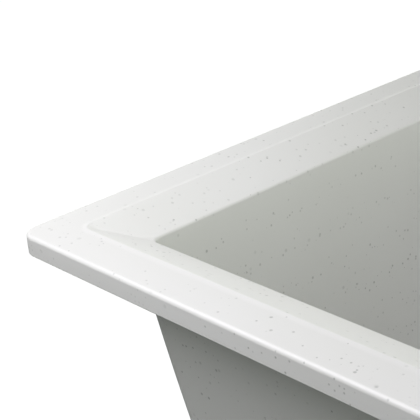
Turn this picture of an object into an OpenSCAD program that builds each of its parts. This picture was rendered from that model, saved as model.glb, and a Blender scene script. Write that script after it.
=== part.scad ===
// Inset kitchen sink in moulded composite stone, with its basket strainer waste,
// overflow and worktop clips. Millimetres, +Z up, +Y towards the back.
// The origin is the centre of the worktop cut-out, in the plane of the worktop.

/* [Rim] */
// Length of the rim, left to right
sink_l = 600; // [560:5:800]
// Width of the rim, front to back
sink_w = 500; // [480:5:560]
// Height of the rim's outer edge
rim_h = 10.5; // [9:0.5:14]
// Width of the flat border at the front and the sides
border_w = 20.5; // [17:0.5:30]
// Width of the flat deck at the back, which holds the tap
deck_w = 70.5; // [64:0.5:80]
// Width of the bevel between the border and the bowl
bevel_w = 22; // [20:0.5:30]
// Fall of the bevel from the border to the bowl
bevel_drop = 8.2; // [5:0.1:8.5]
// Radius of the rim's outer corners, seen from above
corner_r = 9; // [6:0.5:16]
// Radius of the rounded upper edge
edge_r = 2.2; // [2:0.1:4.5]
// Radius of the bevel's outer corners, seen from above
crease_r = 8; // [2:0.5:9.5]
// Height of the raised line between the border and the bevel
crest_h = 0.5; // [0.2:0.1:1]
// Diameter of the tap hole
tap_d = 35; // [32:0.5:38]
// Distance from the back edge to the tap hole's centre
tap_back = 35; // [32:1:38]

/* [Bowl] */
// Height from the rim's top to the bowl's underside
sink_h = 200; // [170:5:240]
// Thickness of the bowl's walls
wall_t = 8; // [7:0.5:9]
// Thickness of the bowl's floor at the drain
floor_t = 10; // [9:0.5:14]
// Slope of the bowl's walls from the vertical
draft = 6.7; // [2:0.1:7]
// Fall of the floor towards the drain
floor_fall = 4; // [2:0.5:6]
// Corner radius at the bowl's mouth
mouth_r = 4.5; // [3:0.5:12]
// Corner radius of the bowl's outside, just under the rim
outer_r = 8; // [6:0.5:14]
// Corner radius at the bowl's floor
foot_r = 20; // [19:1:30]
// Radius between the walls and the floor
floor_fillet = 18; // [10:1:18]

/* [Rim seal] */
// Thickness of the foam strip once it is clamped
seal_t = 1.5; // [1:0.25:3]
// Width of the foam strip
seal_w = 7; // [5:0.5:7.5]
// Distance from the rim's edge to the strip
seal_inset = 3.5; // [2.5:0.5:4.5]

/* [Fixing clips] */
// Distance from the rim's edge to a clip's pivot
pivot_inset = 25; // [24:0.5:26]
// Distance from the middle to each front clip
clip_front_x = 75; // [50:5:120]
// Distance from the middle to each back clip
clip_back_x = 165; // [150:5:180]
// Height of the bosses under the rim
boss_h = 12; // [10:0.5:16]
// Diameter of the bosses
boss_d = 13; // [11:0.5:13]
// Width of a clip's steel strip
strip_w = 14; // [12:0.5:14.5]
// Thickness of a clip's steel strip
strip_t = 2; // [1.5:0.25:2.5]
// Distance from a clip's pivot to its clamp screw
clip_reach = 17.5; // [16.5:0.25:17.75]
// Thickest worktop that the clips hold
worktop_max = 40; // [36:1:45]
// Travel of the clamp screws, down to the thinnest worktop
clamp_travel = 12; // [6:1:16]

/* [Strainer] */
// Diameter of the drain hole
drain_d = 90; // [88:0.5:92]
// Width of the strainer dish's flange beyond the drain hole
dish_lap = 11.5; // [10.5:0.5:14]
// Depth of the strainer dish
dish_h = 32; // [30:0.5:38]
// Thickness of the dish's steel
dish_t = 1.2; // [1:0.1:1.5]
// Number of holes in the dish's floor
dish_holes = 8; // [6:1:9]
// Radius of the ring of holes in the dish's floor
dish_ring_r = 17; // [15:0.5:20]
// Diameter of the holes in the dish's floor
dish_hole_d = 9; // [6:0.5:9.5]
// Height of the basket's wall
basket_h = 19; // [16:0.5:20]
// Number of holes round the basket in each row
basket_holes = 20; // [12:1:22]

/* [Waste] */
// Outer diameter of the waste outlet's G 1 1/2 thread
outlet_d = 47.8; // [46:0.2:49]
// Length of the outlet below the waste body
outlet_l = 22; // [16:1:30]
// Bore of the outlet
outlet_bore = 38; // [34:0.5:40]
// Thickness of the waste body's plastic
waste_t = 3; // [2.5:0.25:3.5]

/* [Overflow] */
// Distance of the overflow from the middle
overflow_x = 120; // [90:5:150]
// Distance of the overflow's centre below the rim's top
overflow_drop = 50; // [45:1:60]
// Diameter of the overflow hole in the bowl's wall
overflow_d = 32; // [30:0.5:34]
// Diameter of the overflow's cover
rose_d = 48; // [44:0.5:52]
// Outer diameter of the overflow hose over its ribs
hose_d = 22; // [21.5:0.5:24]
// Bore of the overflow hose
hose_bore = 17.5; // [16:0.5:18]
// Centreline radius of the hose's bend
hose_bend = 85; // [70:1:90]
// Number of ribs on the hose
hose_ribs = 64; // [40:1:70]

/* [Hidden] */

$fn = 48;

// Gap between two pieces that touch when fitted together
fit_gap = 0.05;
// Gap between two faces that move on each other
run_gap = 0.25;
// Gap all round a shaft that turns or slides in its hole
slide_gap = 0.075;
// Overshoot of a cut past the face that it goes through
cut = 1;

// Segments of a rounded corner, seen from above
corner_n = 6;
// Stretches that a bowl wall's height is made in
wall_n = 4;
// Radius of the rim's lower edge
lower_edge_r = 0.8;
// Width of the hollow curve from the flat border up to the raised line
crest_w = 4;
// Steps of that curve
crest_n = 4;
// Radius of the raised line's top, where it turns into the bevel
crest_edge_r = 1;
// Radius of the bevel's corners between its two edges
mitre_r = 1;
// Radius where the bevel turns into the bowl's wall
mouth_edge_r = 1.6;
// Radius where the rim's underside meets the bowl's outside
root_r = 3;

// Heights of the casting
rim_under_z = seal_t;
rim_top_z = rim_under_z + rim_h;
mouth_z = rim_top_z - bevel_drop;
bowl_under_z = rim_top_z - sink_h;
floor_z = bowl_under_z + floor_t;
floor_edge_z = floor_z + floor_fall;

// Distances inwards from the rim's edge
mouth_inset = border_w + bevel_w;
deck_extra = deck_w - border_w;
wall_run = wall_t / cos(draft);
function inner_inset(z) = mouth_inset + (mouth_z - z) * tan(draft);
function outer_inset(z) = inner_inset(z) - wall_run;

// Corner radii of the bowl at a height
function depth_share(z) = (mouth_z - z) / (mouth_z - floor_edge_z);
function inner_corner(z) = mouth_r + (foot_r - mouth_r) * pow(depth_share(z), 2);
function outer_corner(z) = outer_r + (foot_r + wall_t - outer_r) * pow(depth_share(z), 2);
function bevel_corner(s) = max(crease_r + border_w - s, mitre_r, mouth_r + s - mouth_inset);

// Middle of the bowl, which is the drain's axis
drain_y = (mouth_inset - (mouth_inset + deck_extra)) / 2;
dish_d = drain_d + 2 * dish_lap;
recess_d = dish_d + 3;
recess_h = 3;
flat_r = recess_d / 2 + 4;

// A value between two others
function between(low, high, share) = low + (high - low) * share;

// An arc of n steps that rounds the corner b between a and c
function unit(v) = v / norm(v);
function turn(from, to) = (to - from + 540) % 360 - 180;
function heading(v) = atan2(v[1], v[0]);
function rounded(a, b, c, r, n) =
    let (
        u = unit(a - b),
        v = unit(c - b),
        half = acos(u * v) / 2,
        centre = b + unit(u + v) * r / sin(half),
        start = heading(b + u * r / tan(half) - centre),
        sweep = turn(start, heading(b + v * r / tan(half) - centre))
    )
    [for (i = [0:n]) centre + r * [cos(start + sweep * i / n), sin(start + sweep * i / n)]];

// A rounded rectangle in space: inset from the rim's edge, and extra at the back
function quarter(cx, cy, r, from) = [
    for (i = [0:corner_n])
        let (a = from + 90 * i / corner_n)
        [cx + r * cos(a), cy + r * sin(a)]
];
function frame_points(x, front, back, r) = concat(
    quarter(x - r, back - r, r, 0),
    quarter(r - x, back - r, r, 90),
    quarter(r - x, front + r, r, 180),
    quarter(x - r, front + r, r, 270)
);
function level(inset, z, r, extra) = [
    for (p = frame_points(sink_l / 2 - inset, inset - sink_w / 2, sink_w / 2 - inset - extra, r))
    [p[0], p[1], z]
];

// The casting's section, from the floor up the inside, over the rim and down the outside
floor_corner = [inner_inset(floor_edge_z), floor_edge_z];
mouth_corner = [mouth_inset, mouth_z];
crest_corner = [border_w, rim_top_z + crest_h];
function crest_curve(k) = [border_w - crest_w * (1 - k / crest_n), rim_top_z + crest_h * pow(k / crest_n, 2)];
rim_corner = [0, rim_top_z];
rim_foot = [0, rim_under_z];
root_corner = [outer_inset(rim_under_z), rim_under_z];
heel_corner = [outer_inset(bowl_under_z), bowl_under_z];
inwards = [100, 0];
// The mitre starts and ends where the rounded corners at the bevel's edges have run out
mitre_ends = [mouth_inset - mouth_r + mitre_r, border_w + crease_r - mitre_r];

function casting_levels() = concat(
    [[for (p = frame_points(flat_r, -flat_r, flat_r, flat_r - 1)) [p[0], p[1] + drain_y, floor_z]]],
    [for (p = rounded(floor_corner + inwards, floor_corner, mouth_corner, floor_fillet, 6))
        level(p[0], p[1], max(inner_corner(p[1]) - (p[0] - inner_inset(p[1])), 1), deck_extra)],
    [for (k = [1:wall_n - 1])
        let (z = between(floor_edge_z + floor_fillet, mouth_z, k / wall_n))
        level(inner_inset(z), z, inner_corner(z), deck_extra)],
    [for (p = rounded(floor_corner, mouth_corner, crest_corner, mouth_edge_r, 4))
        level(p[0], p[1], mouth_r, deck_extra)],
    [for (s = mitre_ends)
        level(s, between(crest_corner[1], mouth_z, (s - border_w) / bevel_w), mitre_r, deck_extra)],
    [for (p = rounded(mouth_corner, crest_corner, crest_curve(crest_n - 1), crest_edge_r, 3))
        level(p[0], p[1], bevel_corner(p[0]), deck_extra)],
    [for (k = [crest_n - 1:-1:0])
        let (p = crest_curve(k))
        level(p[0], p[1], bevel_corner(p[0]), deck_extra)],
    [for (p = rounded(crest_curve(0), rim_corner, rim_foot, edge_r, 6))
        level(p[0], p[1], max(corner_r - p[0], 1), 0)],
    [for (p = rounded(rim_corner, rim_foot, root_corner, lower_edge_r, 2))
        level(p[0], p[1], corner_r - p[0], 0)],
    [for (p = rounded(rim_foot, root_corner, heel_corner, root_r, 3))
        level(p[0], p[1], outer_corner(p[1]) + outer_inset(p[1]) - p[0], deck_extra)],
    [for (k = [1:wall_n - 1])
        let (z = between(rim_under_z, bowl_under_z + floor_fillet + wall_t, k / wall_n))
        level(outer_inset(z), z, outer_corner(z), deck_extra)],
    [for (p = rounded(root_corner, heel_corner, heel_corner + inwards, floor_fillet + wall_t, 6))
        level(p[0], p[1], max(outer_corner(p[1]) - (p[0] - outer_inset(p[1])), 1), deck_extra)]
);

// A closed skin over a stack of rings that all have the same number of points
module skin(levels) {
    n = len(levels[0]);
    last = len(levels) - 1;
    polyhedron(
        points = [for (ring = levels) each ring],
        faces = concat(
            [[for (i = [n - 1:-1:0]) i]],
            [for (k = [0:last - 1], i = [0:n - 1]) each [
                [k * n + i, k * n + (i + 1) % n, (k + 1) * n + (i + 1) % n],
                [k * n + i, (k + 1) * n + (i + 1) % n, (k + 1) * n + i]
            ]],
            [[for (i = [0:n - 1]) last * n + i]]
        ),
        convexity = 6
    );
}

// A flat rounded rectangle with true arcs
module rounded_plate(l, w, r) {
    square([l - 2 * r, w], center = true);
    square([l, w - 2 * r], center = true);
    for (x = [-1, 1], y = [-1, 1])
        translate([x * (l / 2 - r), y * (w / 2 - r)]) circle(r);
}

// A flat ring that lies on a height
module flat_ring(outer_d, inner_d, z, t) {
    translate([0, 0, z]) rotate_extrude()
        translate([inner_d / 2, 0]) square([(outer_d - inner_d) / 2, t]);
}

// Clip places: x, y and the direction that the clip points in when it clamps
front_y = pivot_inset - sink_w / 2;
side_x = sink_l / 2 - pivot_inset;
clip_spots = [
    [-clip_front_x, front_y, -90],
    [clip_front_x, front_y, -90],
    [-clip_back_x, -front_y, 90],
    [clip_back_x, -front_y, 90],
    [-side_x, 0, 180],
    [side_x, 0, 0]
];
module at_clip(i) {
    translate([clip_spots[i][0], clip_spots[i][1], 0]) rotate([0, 0, clip_spots[i][2]]) children();
}

// Clip sizes
insert_d = 7;
insert_l = 9;
pivot_d = 4.9;
pivot_head_d = 9;
pivot_head_h = 3;
boss_under_z = rim_under_z - boss_h;
tab_top_z = boss_under_z - run_gap;
leg_near = 7;
bend_r = 1;
clamp_d = 6;
clamp_bush_d = 11;
clamp_bush_h = 4;
clamp_head_d = 11;
clamp_head_h = 4.5;
pad_d = 8;
pad_h = 3;
pad_top_z = -worktop_max;
// The foot lies low enough for the pad to stay above its bush
foot_top_z = pad_top_z - pad_h - clamp_bush_h - 8;
clamp_head_top_z = foot_top_z - strip_t - run_gap - clamp_travel - 1;

// Union nuts of the overflow hose
nut_d = 38;
nut_lip = 3;
nut_over = 9;

// Drain place and heights, from the floor downwards
dish_seat_z = floor_z - recess_h;
dish_gasket_t = 1.5;
dish_flange_z = dish_seat_z + dish_gasket_t + 2 * fit_gap;
dish_top_z = dish_flange_z + dish_t;
dish_floor_z = dish_top_z - dish_h;
dish_r = drain_d / 2 - 2.5;
dish_shoulder = 7;
waste_gasket_t = 3;
waste_top_z = bowl_under_z - waste_gasket_t - 2 * fit_gap;
waste_flange_t = 4;
waste_r = dish_r + 3;
waste_flange_d = dish_d;
hub_top_z = dish_floor_z - dish_t - 0.3;
hub_h = 12;
hub_d = 16;
port_z = waste_top_z - waste_flange_t - nut_d / 2 - 3;
port_d = 30;
port_bore = 18;
port_thread_l = 11;
cup_floor_z = port_z - port_d / 2 - 1;
funnel_h = 18;
outlet_top_z = cup_floor_z - funnel_h;
outlet_end_z = outlet_top_z - outlet_l;
screw_d = 6;
dish_screw_head_d = 13;
dish_screw_head_h = 3.4;
waste_nut_d = 11;
waste_nut_h = 5;

// Overflow place: inner face of the back wall at the overflow's height
overflow_z = rim_top_z - overflow_drop;
overflow_y = sink_w / 2 - deck_extra - inner_inset(overflow_z);
overflow_gasket_t = 3;
elbow_flange_t = 3;
elbow_d = 36;
elbow_flange_d = elbow_d + 16;
elbow_flange_w = wall_t + overflow_gasket_t + 2 * fit_gap;
elbow_mid_w = elbow_flange_w + elbow_flange_t + nut_d / 2 + 1;
elbow_end_w = elbow_mid_w + port_d / 2 + 1;
spigot_y = overflow_y + elbow_mid_w * cos(draft);
spigot_end_z = overflow_z - elbow_mid_w * sin(draft) - elbow_d / 2 - port_thread_l;
module at_overflow() {
    translate([overflow_x, overflow_y, overflow_z]) rotate([-90 - draft, 0, 0]) children();
}

// The hose lies in the upright plane through the drain's axis and the elbow's spigot
hose_heading = atan2(spigot_y - drain_y, overflow_x);
hose_run = norm([overflow_x, spigot_y - drain_y]);
port_end_s = waste_r + waste_t + port_thread_l;
washer_t = 2;
collar_t = 2.2;
collar_d = port_d - 2;
hose_top_z = spigot_end_z - washer_t - 2 * fit_gap;
hose_end_s = port_end_s + washer_t + 2 * fit_gap;
module at_drain() {
    translate([0, drain_y, 0]) children();
}
module at_port() {
    translate([0, drain_y, port_z]) rotate([0, 0, hose_heading]) rotate([0, 90, 0]) children();
}
module at_spigot() {
    translate([overflow_x, spigot_y, spigot_end_z]) rotate([180, 0, 0]) children();
}

// The moulded casting, with its drain recess, tap hole, overflow hole and clip bosses
module sink_body() {
    color("whitesmoke") difference() {
        union() {
            skin(casting_levels());
            for (i = [0:5]) at_clip(i)
                translate([0, 0, boss_under_z]) cylinder(d = boss_d, h = boss_h + 2);
        }
        at_drain() translate([0, 0, dish_seat_z]) cylinder(d = recess_d, h = recess_h + cut);
        at_drain() translate([0, 0, bowl_under_z - cut]) cylinder(d = drain_d, h = floor_t + 2 * cut);
        translate([0, sink_w / 2 - tap_back, rim_under_z - cut])
            cylinder(d = tap_d, h = rim_h + 2 * cut);
        at_overflow() translate([0, 0, -5]) cylinder(d = overflow_d, h = wall_t + 10);
        for (i = [0:5]) at_clip(i)
            translate([0, 0, boss_under_z - cut]) cylinder(d = insert_d, h = insert_l + cut);
    }
}

// Foam strip under the rim
module rim_seal() {
    seal_r = max(corner_r - seal_inset, 2);
    color("dimgray") linear_extrude(seal_t) difference() {
        rounded_plate(sink_l - 2 * seal_inset, sink_w - 2 * seal_inset, seal_r);
        square([sink_l - 2 * (seal_inset + seal_w), sink_w - 2 * (seal_inset + seal_w)], center = true);
    }
}

// Brass inserts in the bosses
module clip_inserts() {
    color("goldenrod") for (i = [0:5]) at_clip(i)
        translate([0, 0, boss_under_z + fit_gap]) difference() {
            cylinder(d = insert_d - 2 * fit_gap, h = insert_l - 2 * fit_gap);
            translate([0, 0, -cut]) cylinder(d = pivot_d + 2 * fit_gap, h = insert_l + 2 * cut);
        }
}

// Screws that the clips swing on
module clip_pivot_screws() {
    head_z = tab_top_z - strip_t - run_gap - pivot_head_h;
    color("silver") for (i = [0:5]) at_clip(i) translate([0, 0, head_z]) difference() {
        union() {
            cylinder(d = pivot_head_d, h = pivot_head_h);
            cylinder(d = pivot_d, h = boss_under_z + insert_l - 1 - head_z);
        }
        translate([0, 0, -cut]) cylinder(d = 4.6, h = 1.8 + cut, $fn = 6);
    }
}

// Side view of a clip's bent strip: along the tab, down the leg and out along the foot
module strip_outline() {
    t = strip_t;
    far = leg_near + t;
    tab = tab_top_z;
    foot = foot_top_z;
    polygon(concat(
        [[0, tab]],
        rounded([0, tab], [far, tab], [far, foot], t + bend_r, 4),
        rounded([far, tab], [far, foot], [clip_reach, foot], bend_r, 4),
        [[clip_reach, foot], [clip_reach, foot - t]],
        rounded([clip_reach, foot - t], [leg_near, foot - t], [leg_near, tab], t + bend_r, 4),
        rounded([leg_near, foot], [leg_near, tab - t], [0, tab - t], bend_r, 4),
        [[0, tab - t]]
    ));
}

// Steel arm of a clip, with a threaded bush on its foot
module clip_arm(i) {
    foot_under_z = foot_top_z - strip_t;
    color("silver") at_clip(i) difference() {
        union() {
            rotate([90, 0, 0]) linear_extrude(strip_w, center = true) strip_outline();
            translate([0, 0, tab_top_z - strip_t]) cylinder(d = strip_w, h = strip_t);
            translate([clip_reach, 0, foot_under_z]) cylinder(d = strip_w, h = strip_t);
            translate([clip_reach, 0, foot_under_z])
                cylinder(d = clamp_bush_d, h = strip_t + clamp_bush_h);
        }
        translate([0, 0, tab_top_z - strip_t - cut])
            cylinder(d = pivot_d + 2 * slide_gap, h = strip_t + 2 * cut);
        translate([clip_reach, 0, foot_under_z - cut])
            cylinder(d = clamp_d + 2 * slide_gap, h = strip_t + clamp_bush_h + 2 * cut);
    }
}

// Clamp screw of a clip, with a hexagon head at its lower end
module clamp_screw(i) {
    shank_top_z = pad_top_z - 1.5;
    color("silver") at_clip(i) translate([clip_reach, 0, 0]) {
        translate([0, 0, clamp_head_top_z]) cylinder(d = clamp_d, h = shank_top_z - clamp_head_top_z);
        translate([0, 0, clamp_head_top_z - clamp_head_h])
            cylinder(d = clamp_head_d, h = clamp_head_h, $fn = 6);
    }
}

// Plastic pad on a clamp screw's tip
module clamp_pad(i) {
    color("black") at_clip(i) translate([clip_reach, 0, pad_top_z - pad_h]) difference() {
        cylinder(d = pad_d, h = pad_h);
        translate([0, 0, -cut]) cylinder(d = clamp_d + 2 * fit_gap, h = pad_h - 1.5 + fit_gap + cut);
    }
}

// Steel dish in the drain recess, with a ring of holes in its floor
module strainer_dish() {
    throat_r = drain_d / 2 - 0.5;
    color("silver") at_drain() difference() {
        rotate_extrude() polygon([
            [0, dish_floor_z - dish_t], [dish_r, dish_floor_z - dish_t],
            [dish_r, dish_flange_z - dish_shoulder], [throat_r, dish_flange_z],
            [dish_d / 2, dish_flange_z], [dish_d / 2, dish_top_z - 0.4],
            [dish_d / 2 - 1, dish_top_z], [throat_r - 0.5, dish_top_z],
            [dish_r - dish_t, dish_flange_z - dish_shoulder + 0.5],
            [dish_r - dish_t, dish_floor_z], [0, dish_floor_z]
        ]);
        translate([0, 0, dish_floor_z - dish_t - cut]) cylinder(d = screw_d + 0.4, h = dish_t + 2 * cut);
        for (i = [0:dish_holes - 1]) rotate([0, 0, i * 360 / dish_holes])
            translate([dish_ring_r, 0, dish_floor_z - dish_t - cut])
                cylinder(d = dish_hole_d, h = dish_t + 2 * cut);
    }
}

// Foam ring under the dish's flange
module dish_gasket() {
    color("dimgray") at_drain()
        flat_ring(dish_d - 1, drain_d + 5, dish_seat_z + fit_gap, dish_gasket_t);
}

// Screw that pulls the dish down onto the waste body
module dish_screw() {
    slot_l = 9;
    slot_w = 1.2;
    slot_h = 1.2;
    color("silver") at_drain() translate([0, 0, dish_floor_z + fit_gap]) difference() {
        union() {
            cylinder(d = dish_screw_head_d, h = dish_screw_head_h);
            translate([0, 0, 1 - dish_t - hub_h]) cylinder(d = screw_d, h = hub_h + dish_t);
        }
        translate([-slot_l / 2, -slot_w / 2, dish_screw_head_h - slot_h])
            cube([slot_l, slot_w, slot_h + cut]);
    }
}

// Rubber ring between the bowl's underside and the waste body
module waste_gasket() {
    color("black") at_drain()
        flat_ring(waste_flange_d - 1, drain_d + 4, bowl_under_z - waste_gasket_t - fit_gap, waste_gasket_t);
}

// Plastic body under the bowl: flange, cup, funnel, threaded outlet and overflow port
module waste_body() {
    outlet_r = outlet_d / 2;
    bore_r = outlet_bore / 2;
    hub_z = hub_top_z - hub_h;
    color("white") difference() {
        union() {
            difference() {
                union() {
                    at_drain() rotate_extrude() polygon([
                        [0, waste_top_z], [waste_flange_d / 2, waste_top_z],
                        [waste_flange_d / 2, waste_top_z - waste_flange_t],
                        [waste_r + waste_t, waste_top_z - waste_flange_t - 2],
                        [waste_r + waste_t, cup_floor_z], [outlet_r + 2.5, outlet_top_z],
                        [outlet_r, outlet_top_z], [outlet_r, outlet_end_z], [0, outlet_end_z]
                    ]);
                    at_port() cylinder(d = port_d, h = port_end_s);
                }
                at_drain() rotate_extrude() polygon([
                    [0, waste_top_z + cut], [waste_r, waste_top_z + cut], [waste_r, cup_floor_z],
                    [bore_r, outlet_top_z], [bore_r, outlet_end_z - cut], [0, outlet_end_z - cut]
                ]);
                at_port() cylinder(d = port_bore, h = port_end_s + cut);
            }
            at_drain() translate([0, 0, hub_z]) cylinder(d = hub_d, h = hub_h);
            at_drain() for (a = [60:120:300]) rotate([0, 0, a + hose_heading])
                translate([hub_d / 2 - 2, -waste_t / 2, hub_z])
                    cube([waste_r + 3.5 - hub_d / 2, waste_t, hub_h - 2]);
        }
        at_drain() translate([0, 0, hub_z - cut]) cylinder(d = screw_d + 0.4, h = hub_h + 2 * cut);
        at_drain() translate([0, 0, hub_z - cut]) cylinder(d = waste_nut_d, h = waste_nut_h + cut, $fn = 6);
    }
}

// Brass nut in the waste body's hub
module waste_nut() {
    color("goldenrod") at_drain() translate([0, 0, hub_top_z - hub_h]) difference() {
        cylinder(d = waste_nut_d - 4 * fit_gap, h = waste_nut_h - fit_gap, $fn = 6);
        translate([0, 0, -cut]) cylinder(d = screw_d + 2 * fit_gap, h = waste_nut_h + 2 * cut);
    }
}

// Basket heights, from the stopper upwards
stopper_z = dish_floor_z + run_gap;
stopper_h = 8;
stopper_r = 27;
stopper_roof_t = 2;
post_r = 2.5;
basket_floor_z = stopper_z + stopper_h + fit_gap;
basket_top_z = basket_floor_z + basket_h;
basket_t = 1;
basket_floor_r = 30;
basket_top_r = dish_r - dish_t - 2;
lip_r = 1.2;
// Holes in the cup's floor: three rings, each with fewer holes than the one outside it
floor_ring_r = basket_floor_r - 7;
floor_ring_step = 6;
floor_ring_n = 21;
floor_ring_fewer = 6;
floor_hole_d = 2.6;
// Holes in the cup's wall
wall_hole_d = 3.2;
wall_rows = 3;

// Perforated steel cup of the lift-out basket
module basket_cup() {
    lean = atan((basket_top_r - basket_floor_r) / basket_h);
    color("silver") at_drain() difference() {
        union() {
            rotate_extrude() polygon([
                [0, basket_floor_z], [basket_floor_r, basket_floor_z],
                [basket_top_r, basket_top_z], [basket_top_r - basket_t, basket_top_z],
                [basket_floor_r - basket_t, basket_floor_z + basket_t], [0, basket_floor_z + basket_t]
            ]);
            rotate_extrude() translate([basket_top_r - basket_t / 2, basket_top_z]) circle(lip_r);
        }
        translate([0, 0, basket_floor_z - cut]) cylinder(r = post_r + 2 * fit_gap, h = basket_t + 2 * cut);
        for (k = [0:2], i = [0:floor_ring_n - floor_ring_fewer * k - 1])
            rotate([0, 0, i * 360 / (floor_ring_n - floor_ring_fewer * k)])
                translate([floor_ring_r - floor_ring_step * k, 0, basket_floor_z - cut])
                    cylinder(d = floor_hole_d, h = basket_t + 2 * cut);
        for (row = [0:wall_rows - 1], i = [0:basket_holes - 1])
            let (share = (row + 1) / (wall_rows + 1.2))
            rotate([0, 0, (i + row / 2) * 360 / basket_holes])
                translate([between(basket_floor_r, basket_top_r, share), 0, basket_floor_z + basket_h * share])
                    rotate([0, 90 + lean, 0]) cylinder(d = wall_hole_d, h = 4 * basket_t, center = true);
    }
}

// Steel post with a knob, which holds the cup and the stopper together
module basket_post() {
    post_low = stopper_z + stopper_h - stopper_roof_t;
    knob_z = basket_top_z - 1;
    color("silver") at_drain() rotate_extrude() polygon([
        [0, post_low - 1.5], [4.5, post_low - 1.5], [4.5, post_low - fit_gap], [post_r, post_low - fit_gap],
        [post_r, basket_floor_z + basket_t + fit_gap], [5.5, basket_floor_z + basket_t + fit_gap],
        [5.5, basket_floor_z + 3], [3.4, basket_floor_z + 4], [3.4, knob_z - 3],
        [8, knob_z], [9, knob_z + 1.4], [8, knob_z + 3], [5, knob_z + 4], [0, knob_z + 4.4]
    ]);
}

// Rubber stopper under the cup, hollow over the dish screw's head
module basket_stopper() {
    hollow_r = 10;
    roof_z = stopper_z + stopper_h - stopper_roof_t;
    color("black") at_drain() rotate_extrude() polygon([
        [hollow_r, stopper_z + 0.6], [hollow_r + 0.6, stopper_z],
        [stopper_r - 1.5, stopper_z], [stopper_r, stopper_z + 1.5],
        [stopper_r - 1, stopper_z + 3], [stopper_r - 6, stopper_z + stopper_h],
        [post_r + 2 * fit_gap, stopper_z + stopper_h], [post_r + 2 * fit_gap, roof_z], [hollow_r, roof_z]
    ]);
}

// Steel cover of the overflow, inside the bowl
module overflow_rose() {
    rose_r = rose_d / 2;
    color("silver") at_overflow() difference() {
        rotate_extrude() polygon([
            [0, -5], [8, -5], [rose_r - 6, -4], [rose_r - 1, -1.6], [rose_r, -fit_gap],
            [rose_r - 1.5, -fit_gap], [rose_r - 6.5, -2.8], [8, -3.8], [0, -3.8]
        ]);
        translate([0, 0, -6]) cylinder(d = 4.6, h = 4);
        for (i = [0:7]) rotate([0, 0, i * 45]) translate([12.5, 0, -7]) cylinder(d = 5.5, h = 8);
    }
}

// Screw through the cover into the elbow's hub
module overflow_screw() {
    color("silver") at_overflow() difference() {
        union() {
            translate([0, 0, -5 - fit_gap - 2.2]) cylinder(d = 8.5, h = 2.2);
            translate([0, 0, -5 - fit_gap - 0.5]) cylinder(d = 4.2, h = 16);
        }
        translate([-3.2, -0.5, -8]) cube([6.4, 1, 1.8]);
    }
}

// Foam ring between the bowl's wall and the elbow's flange
module overflow_gasket() {
    color("dimgray") at_overflow()
        flat_ring(elbow_flange_d, overflow_d + 2, wall_t + fit_gap, overflow_gasket_t);
}

// Plastic elbow behind the wall, with a hub for the screw and a spigot that points down
module overflow_elbow() {
    hub_w = 3;
    collar_r = overflow_d / 2 - 0.6;
    color("white") difference() {
        union() {
            at_overflow() translate([0, 0, elbow_flange_w]) {
                cylinder(d = elbow_flange_d, h = elbow_flange_t);
                cylinder(d = elbow_d, h = elbow_end_w - elbow_flange_w);
            }
            at_overflow() translate([0, 0, hub_w]) cylinder(r = collar_r, h = elbow_flange_w);
            translate([overflow_x, spigot_y, spigot_end_z])
                cylinder(d = port_d, h = overflow_z - elbow_mid_w * sin(draft) - spigot_end_z);
        }
        difference() {
            at_overflow() translate([0, 0, hub_w - cut])
                cylinder(r = collar_r - 2.4, h = elbow_end_w - hub_w - 2.5 + cut);
            at_overflow() translate([0, 0, hub_w]) {
                cylinder(d = 9, h = 12);
                for (a = [0, 90]) rotate([0, 0, a])
                    translate([-collar_r, -1.2, 0]) cube([2 * collar_r, 2.4, 9]);
            }
        }
        at_overflow() translate([0, 0, hub_w - cut]) cylinder(d = 4.3, h = 10);
        translate([overflow_x, spigot_y, spigot_end_z - cut])
            cylinder(d = port_bore, h = elbow_d / 2 + port_thread_l + cut);
    }
}

// The hose's centreline: points [distance along, place in the plane, heading], straight, bend, straight
drop_l = hose_top_z - (port_z + hose_bend);
bend_l = hose_bend * PI / 2;
level_l = hose_run - hose_bend - hose_end_s;
hose_l = drop_l + bend_l + level_l;
function hose_place(t) =
    t < drop_l ? [hose_run, hose_top_z - t]
    : t < drop_l + bend_l
        ? let (a = (t - drop_l) / hose_bend * 180 / PI)
            [hose_run - hose_bend + hose_bend * cos(a), port_z + hose_bend - hose_bend * sin(a)]
    : [hose_run - hose_bend - (t - drop_l - bend_l), port_z];
function hose_angle(t) = min(max((t - drop_l) / hose_bend * 180 / PI, 0), 90);
hose_sides = 8;
function hose_ring(t, r) =
    let (c = hose_place(t), a = hose_angle(t))
    [for (i = [0:hose_sides - 1])
        let (side = r * cos(i * 360 / hose_sides), out = r * sin(i * 360 / hose_sides))
        [c[0] + out * cos(a), side, c[1] - out * sin(a)]];

// Stations along the hose: a collar at each end, a plain cuff, and the ribs between
rib_start = collar_t + 8;
rib_pitch = (hose_l - 2 * rib_start) / hose_ribs;
rib_valley = hose_d / 2 - 2;
function hose_stations() = concat(
    [[0, collar_d / 2], [collar_t, collar_d / 2], [collar_t + 0.2, rib_valley]],
    [for (k = [0:hose_ribs - 1]) each [
        [rib_start + (k + 0.2) * rib_pitch, rib_valley],
        [rib_start + (k + 0.6) * rib_pitch, hose_d / 2]
    ]],
    [[hose_l - collar_t - 0.2, rib_valley], [hose_l - collar_t, collar_d / 2], [hose_l, collar_d / 2]]
);

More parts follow.
